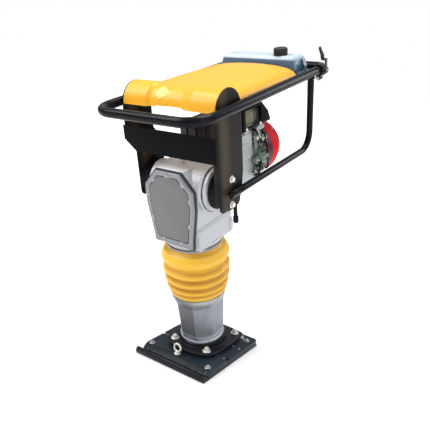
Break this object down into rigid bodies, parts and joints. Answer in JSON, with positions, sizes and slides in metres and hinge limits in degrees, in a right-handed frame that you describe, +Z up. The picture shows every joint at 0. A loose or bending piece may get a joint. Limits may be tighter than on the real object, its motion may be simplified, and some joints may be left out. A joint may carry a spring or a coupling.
{
  "type": "jumping jack rammer",
  "caption": "Upright petrol soil rammer: flat shoe, spring leg with bellows, gear crankcase, engine, rubber-mounted handle frame with hood and rear fuel tank.",
  "frame": {"origin": "middle of the flat underside of the shoe", "axes": "+Z up, -Y the front (crankcase cover side), +Y the operator side, +X the operator's left when facing the front"},
  "size_m": [0.4236, 0.7559, 1.0707],
  "materials": {
    "black_steel": "gloss black paint on steel",
    "dark_steel": "semi-gloss black-brown paint on pressed steel",
    "cast_aluminium": "silver-painted fine-cast aluminium",
    "cover_grey": "satin grey cast cover",
    "steel": "machined and zinc-plated steel",
    "zinc": "yellow-passivated zinc plate",
    "yellow_rubber": "satin moulded polyurethane",
    "yellow_plastic": "glossy rotomoulded plastic",
    "tank_plastic": "pale blue-grey moulded polyethylene",
    "black_rubber": "matt moulded rubber",
    "black_plastic": "fine-grained black plastic",
    "red_plastic": "gloss red",
    "heated_steel": "heat-tinted steel",
    "laminate": "black-painted laminate"
  },
  "bodies": {
    "foot": {"shoe_sole": "black_steel", "shoe_core": "laminate", "foot_flange": "black_steel", "eye_bolt": "zinc", "leg_cylinder": "cast_aluminium", "leg_top_retainer": "steel", "spring_lower": "steel", "spring_upper": "steel", "bellows_clamp_lower": "steel", "flange_nut_front_left": "steel", "flange_nut_front_right": "steel", "flange_nut_back_left": "steel", "flange_nut_back_right": "steel", "shoe_bolt_front_left": "steel", "shoe_bolt_front_right": "steel", "shoe_bolt_back_left": "steel", "shoe_bolt_back_right": "steel"},
    "upper": {"crankcase": "cast_aluminium", "crankcase_cover": "cover_grey", "oil_filler_plug": "steel", "guide_cylinder": "cast_aluminium", "bellows": "yellow_rubber", "bellows_clamp_upper": "steel", "crank_bearing": "steel", "clutch_housing": "cast_aluminium", "engine_block": "cast_aluminium", "muffler": "heated_steel", "muffler_guard": "black_steel", "air_cleaner": "black_plastic", "carburettor": "cast_aluminium", "fan_shroud": "black_steel", "recoil_cover": "red_plastic"},
    "crank": {"crank_gear": "steel"},
    "pinion": {"pinion_shaft": "steel", "clutch_drum": "dark_steel"},
    "ram": {"spring_piston": "steel", "piston_rod": "steel"},
    "rod": {"connecting_rod": "steel"},
    "handle": {"handle_loop": "black_steel", "bracket_left": "dark_steel", "bracket_right": "dark_steel", "guard_tube_left": "black_steel", "guard_tube_right": "black_steel", "cross_plate": "black_steel", "hood": "yellow_plastic", "fuel_tank": "tank_plastic", "tank_tray": "black_steel", "throttle_clamp": "cast_aluminium", "av_mount_left": "black_rubber", "av_mount_right": "black_rubber", "bracket_bolt_upper_left": "zinc", "bracket_bolt_upper_right": "zinc", "bracket_bolt_lower_left": "zinc", "bracket_bolt_lower_right": "zinc"},
    "cap": {"fuel_cap": "black_plastic"},
    "throttle": {"throttle_lever": "black_plastic"},
    "starter": {"starter_grip": "black_plastic"},
    "choke": {"choke_lever": "black_plastic"},
    "tap": {"fuel_tap_lever": "black_plastic"},
    "switch": {"stop_switch": "red_plastic"}
  },
  "joints": [
    {"name": "ram_stroke", "type": "slide", "parent": "foot", "child": "upper", "axis": [0, -0.2079, 0.9781], "range_m": [-0.03, 0.03], "stiffness_N_per_m": 60000, "springref_m": 0.0115, "deforming": ["bellows", "spring_lower", "spring_upper"]},
    {"name": "piston_stroke", "type": "slide", "parent": "upper", "child": "ram", "axis": [0, -0.2079, 0.9781], "range_m": [0, 0.06]},
    {"name": "rod_swing", "type": "hinge", "parent": "ram", "child": "rod", "pos_m": [0, -0.05948, 0.43038], "axis": [0, 0.9781, 0.2079], "range_deg": [-16.6, 16.6]},
    {"name": "crank_spin", "type": "hinge", "parent": "upper", "child": "crank", "pos_m": [0, -0.08755, 0.56243], "axis": [0, 0.9781, 0.2079], "continuous": true},
    {"name": "pinion_spin", "type": "hinge", "parent": "upper", "child": "pinion", "pos_m": [0, -0.10418, 0.64069], "axis": [0, 0.9781, 0.2079], "continuous": true},
    {"name": "handle_rock", "type": "hinge", "parent": "upper", "child": "handle", "pos_m": [0, -0.12096, 0.63303], "axis": [1, 0, 0], "range_deg": [-3, 3], "stiffness_Nm_per_rad": 6000, "springref_deg": 0.57, "deforming": ["av_mount_left", "av_mount_right"]},
    {"name": "cap_turn", "type": "hinge", "parent": "handle", "child": "cap", "pos_m": [0.078, 0.26554, 1.04642], "axis": [0, -0.2079, 0.9781], "continuous": true},
    {"name": "throttle_turn", "type": "hinge", "parent": "handle", "child": "throttle", "pos_m": [0.214, 0.34655, 0.99716], "axis": [-1, 0, 0], "range_deg": [0, 55]},
    {"name": "starter_pull", "type": "slide", "parent": "upper", "child": "starter", "axis": [0, 0.9781, 0.2079], "range_m": [0, 0.55], "stiffness_N_per_m": 30, "springref_m": -0.2},
    {"name": "choke_turn", "type": "hinge", "parent": "upper", "child": "choke", "pos_m": [0.114, 0.15389, 0.72519], "axis": [-1, 0, 0], "range_deg": [0, 60]},
    {"name": "tap_turn", "type": "hinge", "parent": "upper", "child": "tap", "pos_m": [0.124, 0.16404, 0.69668], "axis": [1, 0, 0], "range_deg": [0, 90]},
    {"name": "switch_rock", "type": "hinge", "parent": "upper", "child": "switch", "pos_m": [-0.087, 0.09201, 0.68443], "axis": [0, 0.9781, 0.2079], "range_deg": [0, 8]}
  ],
  "couplings": [
    {"joint": "pinion_spin", "follows": "crank_spin", "ratio": -4}
  ]
}
